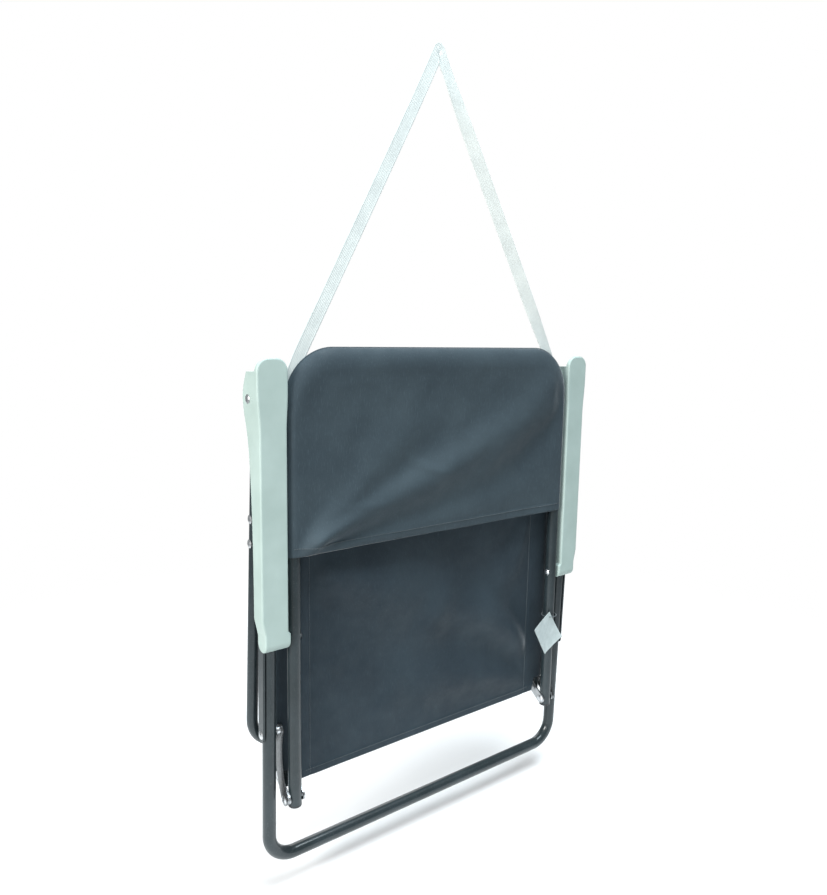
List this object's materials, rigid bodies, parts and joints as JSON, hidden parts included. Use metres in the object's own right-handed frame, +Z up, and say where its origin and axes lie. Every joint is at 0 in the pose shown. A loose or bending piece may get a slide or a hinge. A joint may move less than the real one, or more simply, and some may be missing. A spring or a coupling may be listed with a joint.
{
  "type": "folding camp chair",
  "caption": "Folding camp chair in dark steel tube with fabric back and seat, pale plastic armrests and a webbing carry strap, folded flat.",
  "frame": {"origin": "The point inside the top of the carry strap where a hook holds the folded chair.", "axes": "+X to the right seen from behind, +Y towards the side a sitter faces, +Z up; the chair hangs folded."},
  "size_m": [0.6268, 0.0737, 1.1735],
  "materials": {
    "tube": "satin",
    "plug": "satin",
    "back_cloth": "matte",
    "seat_cloth": "matte",
    "webbing": "matte",
    "label": "matte",
    "zinc": "satin",
    "zinc_plate": "satin",
    "dark_plate": "satin",
    "arm_plastic": "satin"
  },
  "bodies": {
    "back": {"back_frame": "tube", "back_frame_plugs": "plug", "back_cover": "back_cloth", "carry_strap": "webbing", "strap_patches": "webbing", "hang_tag": "label", "tag_loop": "label", "seat_hinge_rivets": "zinc", "seat_hinge_washers": "zinc", "arm_rivets": "zinc"},
    "seat": {"seat_rail_left": "tube", "seat_rail_right": "tube", "rail_plugs": "plug", "seat_front_bar": "tube", "front_bar_plugs": "plug", "front_pivot_pins": "zinc", "seat_sling": "seat_cloth", "fork_left": "zinc_plate", "fork_right": "zinc_plate", "fork_rivets": "zinc", "fork_washers": "zinc"},
    "front_leg": {"front_leg_frame": "tube", "front_leg_caps": "plug", "front_leg_stubs": "zinc", "cross_rivets": "zinc"},
    "rear_leg": {"rear_leg_frame": "tube", "rear_leg_tongue_left": "zinc_plate", "rear_leg_tongue_right": "zinc_plate", "rear_leg_bar_left": "dark_plate", "rear_leg_bar_right": "dark_plate", "link_rivets": "zinc", "link_spacers": "zinc", "small_leg_rivets": "zinc"},
    "left_link": {"link_left": "zinc_plate", "link_left_stub": "zinc"},
    "right_link": {"link_right": "zinc_plate", "link_right_stub": "zinc"},
    "left_arm": {"armrest_left": "arm_plastic", "armrest_left_rivet": "zinc"},
    "right_arm": {"armrest_right": "arm_plastic", "armrest_right_rivet": "zinc"}
  },
  "joints": [
    {"name": "seat_fold", "type": "hinge", "parent": "back", "child": "seat", "pos_m": [0, -0.027, -1.032], "axis": [-1, 0, 0], "range_deg": [0, 86]},
    {"name": "arm_left_swing", "type": "hinge", "parent": "back", "child": "left_arm", "pos_m": [0, -0.027, -0.794], "axis": [-1, 0, 0], "range_deg": [-0.5, 96.79]},
    {"name": "arm_right_swing", "type": "hinge", "parent": "back", "child": "right_arm", "pos_m": [0, -0.027, -0.794], "axis": [-1, 0, 0], "range_deg": [-0.5, 96.79]},
    {"name": "front_leg_swing", "type": "hinge", "parent": "seat", "child": "front_leg", "pos_m": [0, 0.00212, -0.662], "axis": [-1, 0, 0], "range_deg": [-96.82, 0.5]},
    {"name": "rear_leg_swing", "type": "hinge", "parent": "front_leg", "child": "rear_leg", "pos_m": [0, -0.00016, -0.628], "axis": [-1, 0, 0], "range_deg": [-0.5, 79.48]},
    {"name": "link_left_swing", "type": "hinge", "parent": "back", "child": "left_link", "pos_m": [0, -0.027, -1.032], "axis": [-1, 0, 0], "range_deg": [-0.5, 124.79]},
    {"name": "link_right_swing", "type": "hinge", "parent": "back", "child": "right_link", "pos_m": [0, -0.027, -1.032], "axis": [-1, 0, 0], "range_deg": [-0.5, 124.79]}
  ],
  "couplings": [
    {"joint": "arm_left_swing", "follows": "seat_fold", "ratio": 1.1197},
    {"joint": "arm_right_swing", "follows": "seat_fold", "ratio": 1.1197},
    {"joint": "front_leg_swing", "follows": "seat_fold", "ratio": -1.12},
    {"joint": "rear_leg_swing", "follows": "seat_fold", "ratio": 0.91841},
    {"joint": "link_left_swing", "follows": "seat_fold", "ratio": 1.4453},
    {"joint": "link_right_swing", "follows": "seat_fold", "ratio": 1.4453}
  ]
}
